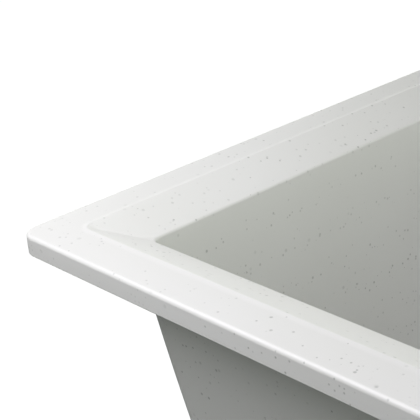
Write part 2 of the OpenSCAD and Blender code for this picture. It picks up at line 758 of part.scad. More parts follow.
// Ribbed overflow hose with its bore, as one tube
module overflow_hose() {
    stations = hose_stations();
    count = len(stations);
    n = hose_sides;
    color("white") translate([0, drain_y, 0]) rotate([0, 0, hose_heading]) polyhedron(
        points = concat(
            [for (s = stations) each hose_ring(s[0], s[1])],
            [for (s = stations) each hose_ring(s[0], hose_bore / 2)]
        ),
        faces = concat(
            [for (k = [0:count - 2], i = [0:n - 1]) each
                let (a = k * n + i, b = k * n + (i + 1) % n, c = a + n, d = b + n, m = count * n) [
                    [a, b, d], [a, d, c], [m + a, m + d, m + b], [m + a, m + c, m + d]
                ]],
            [for (i = [0:n - 1]) each
                let (j = (i + 1) % n, m = count * n, e = (count - 1) * n) [
                    [i, m + j, j], [i, m + i, m + j],
                    [e + i, e + j, m + e + j], [e + i, m + e + j, m + e + i]
                ]]
        ),
        convexity = 8
    );
}

// Union nut, with its threaded mouth towards -Z and its lip beyond the hose's collar
module hose_nut() {
    mouth_z0 = -nut_over;
    lip_z0 = washer_t + collar_t + 4 * fit_gap;
    color("white") difference() {
        union() {
            translate([0, 0, mouth_z0]) cylinder(d = nut_d - 2, h = nut_over + lip_z0 + nut_lip);
            for (i = [0:11]) rotate([0, 0, i * 30])
                translate([nut_d / 2 - 2.2, -1.6, mouth_z0]) cube([2.2, 3.2, nut_over + lip_z0]);
        }
        translate([0, 0, mouth_z0 - cut]) cylinder(d = port_d + 0.4, h = nut_over + lip_z0 + cut);
        cylinder(d = hose_d + 0.8, h = lip_z0 + nut_lip + cut);
    }
}

// Flat washer between a spigot and the hose's collar
module hose_washer() {
    color("black") flat_ring(collar_d, port_bore + 1, fit_gap, washer_t);
}

sink_body();
rim_seal();
clip_inserts();
clip_pivot_screws();
clip_arm(0);  // clip_arm_front_left
clip_arm(1);  // clip_arm_front_right
clip_arm(2);  // clip_arm_back_left
clip_arm(3);  // clip_arm_back_right
clip_arm(4);  // clip_arm_left
clip_arm(5);  // clip_arm_right
clamp_screw(0);  // clamp_screw_front_left
clamp_screw(1);  // clamp_screw_front_right
clamp_screw(2);  // clamp_screw_back_left
clamp_screw(3);  // clamp_screw_back_right
clamp_screw(4);  // clamp_screw_left
clamp_screw(5);  // clamp_screw_right
clamp_pad(0);  // clamp_pad_front_left
clamp_pad(1);  // clamp_pad_front_right
clamp_pad(2);  // clamp_pad_back_left
clamp_pad(3);  // clamp_pad_back_right
clamp_pad(4);  // clamp_pad_left
clamp_pad(5);  // clamp_pad_right
strainer_dish();
dish_gasket();
dish_screw();
waste_gasket();
waste_body();
waste_nut();
basket_cup();
basket_post();
basket_stopper();
overflow_rose();
overflow_screw();
overflow_gasket();
overflow_elbow();
overflow_hose();
at_spigot() hose_nut();  // hose_nut_upper
at_port() translate([0, 0, port_end_s]) hose_nut();  // hose_nut_lower
at_spigot() hose_washer();  // hose_washer_upper
at_port() translate([0, 0, port_end_s]) hose_washer();  // hose_washer_lower
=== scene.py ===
import math

import bmesh
import bpy
from mathutils import Matrix, Vector


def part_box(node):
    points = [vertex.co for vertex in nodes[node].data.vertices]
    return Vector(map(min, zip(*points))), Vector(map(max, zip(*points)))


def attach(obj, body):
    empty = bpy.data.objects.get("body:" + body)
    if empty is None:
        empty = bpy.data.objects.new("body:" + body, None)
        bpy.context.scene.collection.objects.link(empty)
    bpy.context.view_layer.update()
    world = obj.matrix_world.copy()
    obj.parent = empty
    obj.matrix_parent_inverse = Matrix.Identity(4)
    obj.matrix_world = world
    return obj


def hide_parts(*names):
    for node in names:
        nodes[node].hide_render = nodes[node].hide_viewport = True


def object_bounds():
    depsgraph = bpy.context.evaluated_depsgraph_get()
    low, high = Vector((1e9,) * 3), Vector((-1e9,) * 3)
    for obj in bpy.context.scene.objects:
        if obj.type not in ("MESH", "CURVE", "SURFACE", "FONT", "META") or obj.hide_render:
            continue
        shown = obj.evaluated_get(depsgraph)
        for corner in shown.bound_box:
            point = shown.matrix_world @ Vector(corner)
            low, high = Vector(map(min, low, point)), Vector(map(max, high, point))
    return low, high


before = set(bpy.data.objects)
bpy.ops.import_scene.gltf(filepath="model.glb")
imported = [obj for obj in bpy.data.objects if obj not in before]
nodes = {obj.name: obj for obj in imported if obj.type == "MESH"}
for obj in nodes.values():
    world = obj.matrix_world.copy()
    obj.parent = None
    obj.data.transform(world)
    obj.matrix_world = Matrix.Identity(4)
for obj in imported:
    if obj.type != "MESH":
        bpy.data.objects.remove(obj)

cad_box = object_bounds()

# Driving sizes of the casting, in metres
MM = 0.001
body_low, body_high = (Vector(v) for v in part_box("sink_body"))
HALF_L = (body_high.x - body_low.x) / 2
HALF_W = (body_high.y - body_low.y) / 2
RIM_H = 10.5 * MM
BORDER = 20.5 * MM
DECK = 70.5 * MM
BEVEL = 22 * MM
BEVEL_DROP = 8.2 * MM
WALL = 8 * MM
FLOOR = 10 * MM
FLOOR_FALL = 4 * MM
DRAFT = math.radians(6.7)

# Its corners, seen from above, and its fillets
CORNER_R = 9 * MM
MOUTH_R = 4.5 * MM
OUTER_R = 8 * MM
FOOT_R = 20 * MM
FLOOR_FILLET = 18 * MM
ROOT_R = 3 * MM

# Its edges, and the fall of the border towards the rim's edge
EDGE_R = 2.2 * MM
LOWER_EDGE_R = 0.8 * MM
MOUTH_EDGE_R = 1.6 * MM
CROWN_W = 13 * MM
CROWN_FALL = 0.4 * MM

# The raised line between border and bevel, with its corners and those of the bevel
CREST_H = 0.5 * MM
CREST_W = 3.6 * MM
CREST_EDGE_R = 1.6 * MM
CREASE_R = 6 * MM
MITRE_R = 0.4 * MM

# Its holes, and the bosses that carry the clips
TAP_R = 17.5 * MM
TAP_BACK = 35 * MM
TAP_EDGE_R = 0.8 * MM
DRAIN_R = 45 * MM
RECESS_R = 58 * MM
RECESS_H = 3 * MM
RECESS_EDGE_R = 1.2 * MM
FLAT_MARGIN = 4 * MM
OVERFLOW_R = 16 * MM
OVERFLOW_X = 120 * MM
OVERFLOW_DROP = 50 * MM
BOSS_R = 6.5 * MM
BOSS_H = 12 * MM
BOSS_EDGE = 0.6 * MM
INSERT_R = 3.5 * MM
INSERT_L = 9 * MM

# The clips' pivots, and the way that each clip reaches out, in degrees
CLIPS = {
    "front_left": (-75 * MM, -225 * MM, -90), "front_right": (75 * MM, -225 * MM, -90),
    "back_left": (-165 * MM, 225 * MM, 90), "back_right": (165 * MM, 225 * MM, 90),
    "left": (-275 * MM, 0, 180), "right": (275 * MM, 0, 0),
}

# Heights, insets and the drain's place, which follow
TOP = body_high.z - CREST_H
UNDER = body_low.z
RIM_UNDER = TOP - RIM_H
MOUTH_INSET = BORDER + BEVEL
MOUTH_Z = TOP - BEVEL_DROP
FLOOR_Z = UNDER + FLOOR
FLOOR_EDGE_Z = FLOOR_Z + FLOOR_FALL
DECK_EXTRA = DECK - BORDER
DRAIN_Y = -DECK_EXTRA / 2
DRAIN = Matrix.Translation((0, DRAIN_Y, 0))

# Steps of the meshes
CORNER_STEPS = 14
TURN_STEPS = 96
WALL_STEPS = 10
CREST_STEPS = 8
CROWN_STEPS = 5

# A radius that counts as none, and a length that only gives a direction
ON_AXIS = 1e-7
FAR = 0.1

# Half an angle that needs no rounding, and the share of a side that a rounding may take
NEARLY_STRAIGHT = math.radians(86)
CORNER_ROOM = 0.45


# Shapes made of rings of points
def arc(a, b, c, radius, steps):
    """Points that round the corner b between a and c."""
    a, b, c = (Vector(p) for p in (a, b, c))
    u = (a - b).normalized()
    v = (c - b).normalized()
    half = u.angle(v) / 2
    centre = b + (u + v).normalized() * radius / math.sin(half)
    first = b + u * radius / math.tan(half) - centre
    last = b + v * radius / math.tan(half) - centre
    start = math.atan2(first.y, first.x)
    sweep = math.atan2(last.y, last.x) - start
    sweep = (sweep + math.pi) % (2 * math.pi) - math.pi
    angles = (start + sweep * i / steps for i in range(steps + 1))
    return [centre + Vector((math.cos(t), math.sin(t))) * radius for t in angles]


def rounded_ring(half_x, front, back, radius, z):
    """A rounded rectangle at one height."""
    corners = [
        (half_x - radius, back - radius, 0), (radius - half_x, back - radius, 90),
        (radius - half_x, front + radius, 180), (half_x - radius, front + radius, 270),
    ]
    points = []
    for x, y, first in corners:
        for i in range(CORNER_STEPS + 1):
            t = math.radians(first + 90 * i / CORNER_STEPS)
            points.append(Vector((x + radius * math.cos(t), y + radius * math.sin(t), z)))
    return points


def level(inset, z, radius, extra=DECK_EXTRA):
    """The ring at an inset from the rim's edge, and by extra further in at the back."""
    return rounded_ring(HALF_L - inset, inset - HALF_W, HALF_W - inset - extra, radius, z)


def polar(radius, angle, z):
    return Vector((radius * math.cos(angle), radius * math.sin(angle), z))


def circle(place, radius, z, steps):
    return [place @ polar(radius, 2 * math.pi * i / steps, z) for i in range(steps)]


def neighbours(loops, closed):
    """Each loop with the next one, and the last with the first if the row is closed."""
    pairs = list(zip(loops, loops[1:]))
    if closed:
        pairs.append((loops[-1], loops[0]))
    return pairs


def skin(bm, rings, closed=False):
    """Joins rings of equally many points into a shell, with a face at each open end."""
    loops = [[bm.verts.new(p) for p in ring] for ring in rings]
    count = len(loops[0])
    for low, high in neighbours(loops, closed):
        for i in range(count):
            j = (i + 1) % count
            bm.faces.new((low[i], low[j], high[j], high[i]))
    if not closed:
        bm.faces.new(list(reversed(loops[0])))
        bm.faces.new(loops[-1])


def turned(bm, profile, place, steps, closed=False):
    """Turns a profile of (radius, height) points round Z; a radius of 0 is a point on the axis."""
    loops = []
    for radius, height in profile:
        on_axis = radius < ON_AXIS
        points = [place @ Vector((0, 0, height))] if on_axis else circle(place, radius, height, steps)
        loops.append([bm.verts.new(p) for p in points])
    for low, high in neighbours(loops, closed):
        if len(low) == 1 and len(high) == 1:
            continue
        for i in range(steps):
            j = (i + 1) % steps
            if len(low) == 1:
                bm.faces.new((low[0], high[j], high[i]))
            elif len(high) == 1:
                bm.faces.new((low[i], low[j], high[0]))
            else:
                bm.faces.new((low[i], low[j], high[j], high[i]))


def bar(bm, place, start, end, half_width, low, high):
    """A straight bar along the place's X."""
    corners = [(start, -half_width), (end, -half_width), (end, half_width), (start, half_width)]
    skin(bm, [[place @ Vector((x, y, z)) for x, y in corners] for z in (low, high)])


def rod(radius, low, high):
    """Profile of a plain cylinder."""
    return [(0, low), (radius, low), (radius, high), (0, high)]


def softened(points, radius, closed=False, steps=3):
    """Rounds the corners of a profile, and leaves its two ends alone unless it is closed."""
    points = [Vector(p) for p in points]
    count = len(points)
    out = []
    for i, b in enumerate(points):
        if not closed and i in (0, count - 1):
            out.append(b)
            continue
        a = points[i - 1]
        c = points[(i + 1) % count]
        half = (a - b).angle(c - b) / 2
        if half > NEARLY_STRAIGHT:
            out.append(b)
            continue
        room = CORNER_ROOM * min((a - b).length, (c - b).length) * math.tan(half)
        out.extend(arc(a, b, c, min(radius, room), steps))
    return [(p.x, p.y) for p in out]


# Objects
def new_object(name, bm):
    bmesh.ops.recalc_face_normals(bm, faces=bm.faces)
    mesh = bpy.data.meshes.new(name)
    bm.to_mesh(mesh)
    bm.free()
    mesh.shade_smooth()
    obj = bpy.data.objects.new(name, mesh)
    bpy.context.scene.collection.objects.link(obj)
    return obj


def turned_object(name, profile, place, steps=TURN_STEPS, closed=False):
    bm = bmesh.new()
    turned(bm, profile, place, steps, closed)
    return new_object(name, bm)


def weight_normals(obj):
    modifier = obj.modifiers.new("even_normals", "WEIGHTED_NORMAL")
    modifier.weight = 100
    modifier.keep_sharp = True


def settle(obj):
    """Applies an object's modifiers to its mesh."""
    graph = bpy.context.evaluated_depsgraph_get()
    mesh = bpy.data.meshes.new_from_object(obj.evaluated_get(graph))
    old = obj.data
    obj.modifiers.clear()
    obj.data = mesh
    bpy.data.meshes.remove(old)


def combine(obj, other, operation):
    modifier = obj.modifiers.new(operation.lower(), "BOOLEAN")
    modifier.operation = operation
    modifier.solver = "EXACT"
    modifier.use_self = operation == "UNION"
    modifier.object = other
    settle(obj)
    bpy.data.objects.remove(other)


def cut(obj, profile, places, steps=TURN_STEPS):
    """Cuts a turned form out of an object at each place."""
    bm = bmesh.new()
    for place in places:
        turned(bm, profile, place, steps)
    combine(obj, new_object("cutter", bm), "DIFFERENCE")


def drill(obj, places, radius, low, high, steps=24):
    """Cuts one round hole at each place, from low to high along the place's Z."""
    cut(obj, rod(radius, low, high), places, steps)


def about(place, degrees):
    return place @ Matrix.Rotation(math.radians(degrees), 4, "Z")


def around(place, count, radius):
    """Places on a circle, evenly apart."""
    return [about(place, 360 * i / count) @ Matrix.Translation((radius, 0, 0)) for i in range(count)]


# Materials
def tree_of(name):
    material = bpy.data.materials.new(name)
    material.use_nodes = True
    tree = material.node_tree
    shader = tree.nodes["Principled BSDF"]
    return material, tree, shader


def place_coordinates(tree):
    return tree.nodes.new("ShaderNodeTexCoord").outputs["Object"]


def noise(tree, scale, detail=4.0, place=None):
    made = tree.nodes.new("ShaderNodeTexNoise")
    made.inputs["Scale"].default_value = scale
    made.inputs["Detail"].default_value = detail
    tree.links.new(place or place_coordinates(tree), made.inputs["Vector"])
    return made.outputs["Fac"]


def remap(tree, value, low, high, to_low=0.0, to_high=1.0):
    made = tree.nodes.new("ShaderNodeMapRange")
    tree.links.new(value, made.inputs["Value"])
    made.inputs["From Min"].default_value = low
    made.inputs["From Max"].default_value = high
    made.inputs["To Min"].default_value = to_low
    made.inputs["To Max"].default_value = to_high
    return made.outputs["Result"]


def math_node(tree, operation, a, b):
    made = tree.nodes.new("ShaderNodeMath")
    made.operation = operation
    for socket, value in zip(made.inputs, (a, b)):
        if isinstance(value, (int, float)):
            socket.default_value = value
        else:
            tree.links.new(value, socket)
    return made.outputs["Value"]


def mix_colour(tree, amount, a, b):
    made = tree.nodes.new("ShaderNodeMix")
    made.data_type = "RGBA"
    tree.links.new(amount, made.inputs["Factor"])
    for socket, value in zip((made.inputs[6], made.inputs[7]), (a, b)):
        if isinstance(value, tuple):
            socket.default_value = (*value, 1.0)
        else:
            tree.links.new(value, socket)
    return made.outputs[2]


def mix_shader(tree, share, first, second):
    made = tree.nodes.new("ShaderNodeMixShader")
    for socket, value in zip(made.inputs, (share, first, second)):
        tree.links.new(value, socket)
    return made.outputs["Shader"]


def bump(tree, shader, height, strength, distance):
    made = tree.nodes.new("ShaderNodeBump")
    made.inputs["Strength"].default_value = strength
    made.inputs["Distance"].default_value = distance
    tree.links.new(height, made.inputs["Height"])
    tree.links.new(made.outputs["Normal"], shader.inputs["Normal"])


def flecks(tree, scale, size, share):
    """Specks of up to a size, in cells of 1 / scale metres, of which a share holds one."""
    cells = tree.nodes.new("ShaderNodeTexVoronoi")
    cells.inputs["Scale"].default_value = scale
    tree.links.new(place_coordinates(tree), cells.inputs["Vector"])
    split = tree.nodes.new("ShaderNodeSeparateColor")
    tree.links.new(cells.outputs["Color"], split.inputs["Color"])
    chosen = math_node(tree, "LESS_THAN", split.outputs["Red"], share)
    reach = remap(tree, split.outputs["Green"], 0.0, 1.0, size * 0.25, size)
    near = math_node(tree, "DIVIDE", cells.outputs["Distance"], reach)
    soft = remap(tree, near, 0.6, 1.2, 1.0, 0.0)
    return math_node(tree, "MULTIPLY", soft, chosen)


def composite():
    """White stone with fine and coarse flecks, which gather in loose clusters."""
    material, tree, shader = tree_of("speckled_composite")
    clusters = remap(tree, noise(tree, 22.0, 2.0), 0.35, 0.65, 0.3, 1.0)
    cloud = remap(tree, noise(tree, 9.0, 3.0), 0.3, 0.7)
    colour = mix_colour(tree, cloud, STONE_LIGHT, STONE_SHADE)
    for scale, size, share, strength, fleck in FLECKS:
        amount = math_node(tree, "MULTIPLY", flecks(tree, scale, size, share), clusters)
        colour = mix_colour(tree, math_node(tree, "MULTIPLY", amount, strength), colour, fleck)
    tree.links.new(colour, shader.inputs["Base Color"])
    matt = remap(tree, noise(tree, 300.0, 3.0), 0.3, 0.7, 0.33, 0.43)
    tree.links.new(matt, shader.inputs["Roughness"])
    shader.inputs["IOR"].default_value = 1.5
    bump(tree, shader, noise(tree, 1400.0, 2.0), 0.05, 0.0002)
    return material


def metal(name, colour, rough, grain=900.0, stretch=(1, 1, 12)):
    material, tree, shader = tree_of(name)
    scaled = tree.nodes.new("ShaderNodeMapping")
    scaled.inputs["Scale"].default_value = stretch
    tree.links.new(place_coordinates(tree), scaled.inputs["Vector"])
    grains = noise(tree, grain, 3.0, scaled.outputs["Vector"])
    dark = tuple(c * 0.82 for c in colour)
    tree.links.new(mix_colour(tree, noise(tree, 60.0), dark, colour), shader.inputs["Base Color"])
    shader.inputs["Metallic"].default_value = 1.0
    polish = remap(tree, grains, 0.3, 0.7, rough * 0.75, rough * 1.3)
    tree.links.new(polish, shader.inputs["Roughness"])
    bump(tree, shader, grains, 0.08, 0.0001)
    return material


def moulded(name, colour, rough, grain, depth):
    material, tree, shader = tree_of(name)
    dark = tuple(c * 0.9 for c in colour)
    tree.links.new(mix_colour(tree, noise(tree, 45.0), dark, colour), shader.inputs["Base Color"])
    polish = remap(tree, noise(tree, 500.0), 0.3, 0.7, rough * 0.85, rough * 1.15)
    tree.links.new(polish, shader.inputs["Roughness"])
    bump(tree, shader, noise(tree, grain, 3.0), depth, 0.0002)
    return material


STONE_LIGHT = (0.835, 0.835, 0.833)
STONE_SHADE = (0.81, 0.81, 0.80)

# Flecks: cells in a metre, size in cells, share of the cells, strength, colour
FLECKS = (
    (430.0, 0.34, 0.2, 0.52, (0.17, 0.18, 0.17)),
    (240.0, 0.28, 0.14, 0.38, (0.33, 0.345, 0.33)),
)

FINISHES = {
    "stone": composite(),
    "stainless": metal("stainless_steel", (0.66, 0.66, 0.65), 0.22),
    "zinc": metal("zinc_plated_steel", (0.58, 0.60, 0.62), 0.38, 1500.0, (1, 1, 1)),
    "brass": metal("turned_brass", (0.72, 0.52, 0.24), 0.28),
    "white": moulded("white_plastic", (0.78, 0.78, 0.75), 0.42, 1800.0, 0.10),
    "hose": moulded("hose_plastic", (0.62, 0.63, 0.63), 0.48, 1500.0, 0.12),
    "black": moulded("black_plastic", (0.035, 0.035, 0.037), 0.45, 1600.0, 0.15),
    "rubber": moulded("black_rubber", (0.030, 0.030, 0.031), 0.62, 1100.0, 0.25),
    "foam": moulded("sealing_foam", (0.10, 0.10, 0.105), 0.90, 2600.0, 0.60),
}
FINISH_OF = {
    "sink_body": "stone", "rim_seal": "foam", "clip_inserts": "brass", "clip_pivot_screws": "zinc",
    "clip_arm": "zinc", "clamp_screw": "zinc", "clamp_pad": "black", "strainer_dish": "stainless",
    "dish_gasket": "foam", "dish_screw": "stainless", "waste_gasket": "rubber", "waste_body": "white",
    "waste_nut": "brass", "basket_cup": "stainless", "basket_post": "stainless",
    "basket_stopper": "rubber", "overflow_rose": "stainless", "overflow_screw": "stainless",
    "overflow_gasket": "foam", "overflow_elbow": "white", "overflow_hose": "hose",
    "hose_nut": "white", "hose_washer": "rubber",
}


def paint(obj, finish):
    obj.data.materials.clear()
    obj.data.materials.append(FINISHES[finish])


def finished(obj, body, finish, slot, *replaced):
    """Ends a piece that takes the place of its node."""
    weight_normals(obj)
    paint(obj, finish)
    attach(obj, body)
    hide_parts(*replaced)


for name, obj in nodes.items():
    paint(obj, next(finish for start, finish in FINISH_OF.items() if name.startswith(start)))


# The casting
def inner_inset(z):
    return MOUTH_INSET + (MOUTH_Z - z) * math.tan(DRAFT)


def outer_inset(z):
    return inner_inset(z) - WALL / math.cos(DRAFT)


def depth_share(z):
    return (MOUTH_Z - z) / (MOUTH_Z - FLOOR_EDGE_Z)


def inner_corner(z):
    return MOUTH_R + (FOOT_R - MOUTH_R) * depth_share(z) ** 2


def outer_corner(z):
    return OUTER_R + (FOOT_R + WALL - OUTER_R) * max(depth_share(z), 0) ** 2


def bevel_corner(inset):
    return max(CREASE_R + BORDER - inset, MITRE_R, MOUTH_R + inset - MOUTH_INSET)


def crown(inset):
    """Height of the border, which falls a little towards the rim's edge."""
    return TOP - CROWN_FALL * max(1 - inset / CROWN_W, 0) ** 2


# Corners of the casting's cross-section, from the bowl's floor round to its outside
FLOOR_CORNER = (inner_inset(FLOOR_EDGE_Z), FLOOR_EDGE_Z)
MOUTH = (MOUTH_INSET, MOUTH_Z)
CREST = (BORDER, TOP + CREST_H)
RIM = (0, crown(0))
RIM_FOOT = (0, RIM_UNDER)
RIM_ROOT = (outer_inset(RIM_UNDER), RIM_UNDER)
HEEL = (outer_inset(UNDER), UNDER)


def wall_rings(start, end, inset_at, corner_at):
    """Rings along a wall, between two heights."""
    heights = (start + (end - start) * k / WALL_STEPS for k in range(1, WALL_STEPS))
    return [level(inset_at(z), z, corner_at(z)) for z in heights]


def bowl_rings():
    """From the flat round the drain up the bowl's inside to its mouth."""
    flat_r = RECESS_R + FLAT_MARGIN
    flat = rounded_ring(flat_r, -flat_r, flat_r, flat_r * 0.99, FLOOR_Z)
    rings = [[p + DRAIN.translation for p in flat]]
    for p in arc((FLOOR_CORNER[0] + FAR, FLOOR_EDGE_Z), FLOOR_CORNER, MOUTH, FLOOR_FILLET, 10):
        radius = inner_corner(p.y) - (p.x - inner_inset(p.y))
        rings.append(level(p.x, p.y, max(radius, MM)))
    rings += wall_rings(FLOOR_EDGE_Z + FLOOR_FILLET, MOUTH_Z, inner_inset, inner_corner)
    for p in arc(FLOOR_CORNER, MOUTH, CREST, MOUTH_EDGE_R, 6):
        rings.append(level(p.x, p.y, MOUTH_R))
    return rings


def crest_rings():
    """Up the bevel, over the raised line and down its hollow flank."""
    flank = [(BORDER - CREST_W * (1 - k / CREST_STEPS), TOP + CREST_H * (k / CREST_STEPS) ** 2)
             for k in range(CREST_STEPS - 1, -1, -1)]
    bevel = [(inset, CREST[1] + (MOUTH_Z - CREST[1]) * (inset - BORDER) / BEVEL)
             for inset in (MOUTH_INSET - MOUTH_R + MITRE_R, BORDER + CREASE_R - MITRE_R)]
    top = [(p.x, p.y) for p in arc(MOUTH, CREST, flank[0], CREST_EDGE_R, 8)]
    return [level(inset, z, bevel_corner(inset)) for inset, z in bevel + top + flank]


def rim_rings():
    """Across the border, round the rim's edges and back under it."""
    rings = []
    for k in range(CROWN_STEPS + 1):
        inset = CROWN_W + (EDGE_R * 1.5 - CROWN_W) * k / CROWN_STEPS
        rings.append(level(inset, crown(inset), CORNER_R - EDGE_R, 0))
    edge = arc((EDGE_R, crown(EDGE_R)), RIM, RIM_FOOT, EDGE_R * 0.95, 12)
    lower_edge = arc(RIM, RIM_FOOT, RIM_ROOT, LOWER_EDGE_R, 4)
    rings += [level(p.x, p.y, CORNER_R - p.x, 0) for p in edge + lower_edge]
    for p in arc(RIM_FOOT, RIM_ROOT, HEEL, ROOT_R, 6):
        rings.append(level(p.x, p.y, outer_corner(p.y) + outer_inset(p.y) - p.x))
    return rings


def outside_rings():
    """Down the bowl's outside and in under its floor."""
    rings = wall_rings(RIM_UNDER, UNDER + FLOOR_FILLET + WALL, outer_inset, outer_corner)
    for p in arc(RIM_ROOT, HEEL, (HEEL[0] + FAR, UNDER), FLOOR_FILLET + WALL, 12):
        radius = outer_corner(p.y) - (p.x - outer_inset(p.y))
        rings.append(level(p.x, p.y, max(radius, MM)))
    return rings


def flared_hole(radius, low, high, edge):
    """Profile of a hole's cutter whose upper end flares out to round the hole's edge."""
    flare = [(radius + edge * (1 - math.cos(t)), high - edge + edge * math.sin(t))
             for t in (math.radians(15 * i) for i in range(7))]
    return [(0, low), (radius, low)] + flare + [(radius + edge, high + MM), (0, high + MM)]


def overflow_place():
    z = TOP - OVERFLOW_DROP
    spot = Vector((OVERFLOW_X, HALF_W - DECK_EXTRA - inner_inset(z), z))
    return Matrix.Translation(spot) @ Matrix.Rotation(-math.pi / 2 - DRAFT, 4, "X")


def boss(obj, place):
    """Adds a boss under the rim, with the hole for its insert."""
    steps = 48
    low = RIM_UNDER - BOSS_H
    high = RIM_UNDER + 2 * MM
    profile = [(0, low), (BOSS_R - BOSS_EDGE, low), (BOSS_R, low + BOSS_EDGE), (BOSS_R, high), (0, high)]
    combine(obj, turned_object("boss", profile, place, steps), "UNION")
    drill(obj, [place], INSERT_R, low - MM, low + INSERT_L, steps)


def sink_casting():
    bm = bmesh.new()
    skin(bm, bowl_rings() + crest_rings() + rim_rings() + outside_rings())
    obj = new_object("sink_casting", bm)
    for x, y, _ in CLIPS.values():
        boss(obj, Matrix.Translation((x, y, 0)))
    tap = Matrix.Translation((0, HALF_W - TAP_BACK, 0))
    cut(obj, flared_hole(RECESS_R, FLOOR_Z - RECESS_H, FLOOR_Z, RECESS_EDGE_R), [DRAIN])
    drill(obj, [DRAIN], DRAIN_R, UNDER - MM, FLOOR_Z + MM, TURN_STEPS)
    cut(obj, flared_hole(TAP_R, RIM_UNDER - MM, TOP, TAP_EDGE_R), [tap])
    drill(obj, [OVERFLOW], OVERFLOW_R, -5 * MM, WALL + 5 * MM, TURN_STEPS)
    obj.data.shade_smooth()
    finished(obj, "sink", "stone", "composite", "sink_body")


OVERFLOW = overflow_place()
sink_casting()

# Clamp screws, with hexagon heads and real threads
CLIP_REACH = 17.5 * MM
CLAMP_R = 3 * MM
CLAMP_PITCH = 1 * MM
CLAMP_THREAD_H = 0.55 * MM
CLAMP_HEAD_R = 5.5 * MM
CLAMP_HEAD_H = 4.5 * MM
CLAMP_CHAMFER = 0.5 * MM
CLAMP_STEPS = 24
ROWS_PER_TURN = 8


def thread_surface(bm, place, low, high, crest, depth, pitch, bore, steps):
    """A rod with a helical thread, or a tube if it has a bore."""
    rows = int(round((high - low) / pitch * ROWS_PER_TURN))
    rings = []
    for k in range(rows + 1):
        z = low + (high - low) * k / rows
        fade = min(1, (z - low) / pitch, (high - z) / pitch)
        ring = []
        for i in range(steps):
            wave = abs(2 * ((z / pitch - i / steps) % 1) - 1)
            radius = crest - depth * (1 - fade * (1 - wave))
            ring.append(place @ polar(radius, 2 * math.pi * i / steps, z))
        rings.append(ring)
    if bore > 0:
        rings += [circle(place, bore, z, steps) for z in (high, low)]
    skin(bm, rings, closed=bore > 0)


def hexagon_rings(place, low, high, radius, chamfer):
    narrow = 0.88
    rings = ((low, narrow), (low + chamfer, 1), (high - chamfer, 1), (high, narrow))
    return [circle(place, radius * share, z, 6) for z, share in rings]


def clip_place(spot):
    x, y, heading = CLIPS[spot]
    return about(Matrix.Translation((x, y, 0)), heading)


def clamp_screw(spot):
    low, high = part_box("clamp_screw_" + spot)
    place = clip_place(spot) @ Matrix.Translation((CLIP_REACH, 0, 0))
    neck = low[2] + CLAMP_HEAD_H
    start = neck - 0.2 * MM
    bm = bmesh.new()
    skin(bm, hexagon_rings(place, low[2], neck, CLAMP_HEAD_R, CLAMP_CHAMFER))
    thread_surface(bm, place, start, high[2], CLAMP_R, CLAMP_THREAD_H, CLAMP_PITCH, 0, CLAMP_STEPS)
    obj = new_object("threaded_clamp_screw_" + spot, bm)
    obj.data.set_sharp_from_angle(angle=math.radians(50))
    finished(obj, "clamp_" + spot, "zinc", "zinc_steel", "clamp_screw_" + spot)


for spot in CLIPS:
    clamp_screw(spot)

# Strainer dish
dish_low, dish_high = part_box("strainer_dish")
DISH_T = 1.2 * MM
DISH_R = 42.5 * MM
DISH_EDGE_R = 56.5 * MM
DISH_UNDER = dish_low[2]
DISH_FLOOR = DISH_UNDER + DISH_T
DISH_TOP = dish_high[2]
DISH_FLANGE = DISH_TOP - DISH_T
DISH_SHOULDER = 7 * MM
DISH_FOLD_R = 1.6 * MM
DISH_HOLES = 8
DISH_HOLE_R = 4.5 * MM
DISH_HOLE_RING_R = 17 * MM
DISH_SCREW_HOLE_R = 3.2 * MM
HOLE_STEPS = 32


def strainer_dish():
    throat = DRAIN_R - 0.5 * MM
    inside = DISH_R - DISH_T
    shoulder = DISH_FLANGE - DISH_SHOULDER
    profile = [
        (0, DISH_UNDER), (DISH_R - 1.5 * MM, DISH_UNDER), (DISH_R, DISH_FLOOR + 1.5 * MM),
        (DISH_R, shoulder), (throat, DISH_FLANGE), (DISH_EDGE_R, DISH_FLANGE),
        (DISH_EDGE_R, DISH_TOP - 0.5 * MM), (DISH_EDGE_R - 1.2 * MM, DISH_TOP),
        (throat - 0.5 * MM, DISH_TOP), (inside, shoulder + 0.5 * MM), (inside, DISH_FLOOR + 1.6 * MM),
        (DISH_R - 2.6 * MM, DISH_FLOOR), (0, DISH_FLOOR),
    ]
    obj = turned_object("pressed_strainer_dish", softened(profile, DISH_FOLD_R, steps=5), DRAIN)
    low = DISH_FLOOR - 3 * MM
    high = DISH_FLOOR + 2 * MM
    drill(obj, around(DRAIN, DISH_HOLES, DISH_HOLE_RING_R), DISH_HOLE_R, low, high, HOLE_STEPS)
    drill(obj, [DRAIN], DISH_SCREW_HOLE_R, low, high, HOLE_STEPS)
    obj.data.shade_smooth()
    finished(obj, "sink", "stainless", "stainless", "strainer_dish")


strainer_dish()

# Basket: its cup, whose floor and wall are full of holes under a rolled lip
cup_low, cup_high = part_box("basket_cup")
CUP_LIP_R = 1.2 * MM
CUP_FLOOR = cup_low[2]
CUP_TOP = cup_high[2] - CUP_LIP_R
CUP_T = 1 * MM
CUP_FOLD_R = 1.5 * MM
CUP_FLOOR_R = 30 * MM
CUP_TOP_R = DISH_R - DISH_T - 2 * MM
CUP_POST_HOLE_R = 2.6 * MM
CUP_FLOOR_HOLE_R = 1.3 * MM
CUP_FLOOR_RINGS = (11, 17, 23)
CUP_WALL_HOLE_R = 1.6 * MM
CUP_WALL_ROWS = 3
CUP_WALL_HOLES = 20
CUP_ROW_GAPS = 4.2


